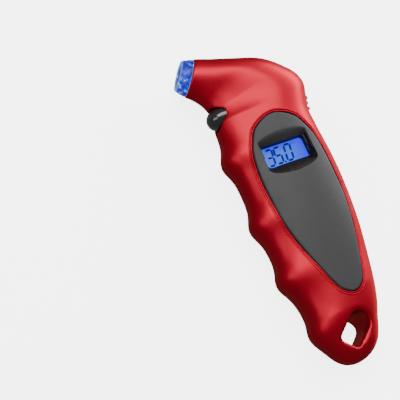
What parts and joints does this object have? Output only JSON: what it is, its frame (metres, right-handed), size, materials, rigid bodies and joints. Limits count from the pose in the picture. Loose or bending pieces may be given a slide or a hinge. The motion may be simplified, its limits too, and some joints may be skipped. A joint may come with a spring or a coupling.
{
  "type": "tire pressure gauge",
  "caption": "Pistol-shaped digital tire pressure gauge with a backlit display, a finger-grip handle, a lit nozzle for a tire valve and a push trigger",
  "frame": {"origin": "on the flat back that the gauge lies on, in the middle of the grip", "axes": "+Z out of the display, +Y up the handle to the head, +X to the spine side away from the fingers"},
  "size_m": [0.0578, 0.1554, 0.0249],
  "materials": {
    "black_plastic": "satin",
    "brass": "turned",
    "cell_steel": "drawn can",
    "chip_black": "moulded epoxy",
    "circuit_board": "solder mask",
    "clear_plastic": "clear, polished",
    "component": "ceramic",
    "dark_panel": "fine matt texture",
    "display": "blue backlit",
    "foam": "open-cell foam",
    "gloss_black": "glossy",
    "led_body": "lit blue",
    "red_shell": "soft satin coat",
    "rubber_black": "matt",
    "silicone": "translucent",
    "steel": "zinc plated",
    "white_plastic": "satin",
    "wire_black": "vinyl",
    "wire_red": "vinyl"
  },
  "bodies": {
    "housing": {"backlight_led": "led_body", "backlight_panel": "display", "battery_door": "red_shell", "battery_pad": "foam", "battery_tray": "black_plastic", "battery_wire_black": "wire_black", "battery_wire_red": "wire_red", "board_parts": "component", "board_screws": "steel", "boost_inductor": "chip_black", "case_screws": "steel", "cell_contact_minus": "brass", "cell_contact_plus": "brass", "coin_cell": "cell_steel", "coin_contact": "brass", "contact_strip": "rubber_black", "controller_chip": "chip_black", "depressor_pin": "brass", "display_panel": "dark_panel", "display_window": "clear_plastic", "door_screw": "steel", "front_shell": "red_shell", "gauge_cell_1": "cell_steel", "gauge_cell_2": "cell_steel", "gauge_cell_3": "cell_steel", "hose_clips": "steel", "lamp_wire_black": "wire_black", "lamp_wire_red": "wire_red", "lcd_frame": "white_plastic", "lcd_glass": "display", "main_board": "circuit_board", "nozzle_body": "black_plastic", "nozzle_led_board": "circuit_board", "nozzle_leds": "led_body", "nozzle_lens": "clear_plastic", "pressure_sensor": "white_plastic", "rear_shell": "red_shell", "sensor_hose": "silicone", "switch_board": "circuit_board", "switch_wire_black": "wire_black", "switch_wire_red": "wire_red", "tactile_switch": "black_plastic", "trigger_spring": "steel", "valve_seal": "rubber_black"},
    "trigger": {"trigger_button": "gloss_black"},
    "plunger": {"switch_plunger": "black_plastic"}
  },
  "joints": [
    {"name": "trigger_press", "type": "slide", "parent": "housing", "child": "trigger", "axis": [1, 0, 0], "range_m": [0, 0.0008], "stiffness_N_per_m": 600, "springref_m": -0.002, "deforming": ["trigger_spring"]},
    {"name": "plunger_press", "type": "slide", "parent": "housing", "child": "plunger", "axis": [1, 0, 0], "range_m": [0, 0.0008]}
  ],
  "couplings": [
    {"joint": "plunger_press", "follows": "trigger_press", "ratio": 1}
  ]
}
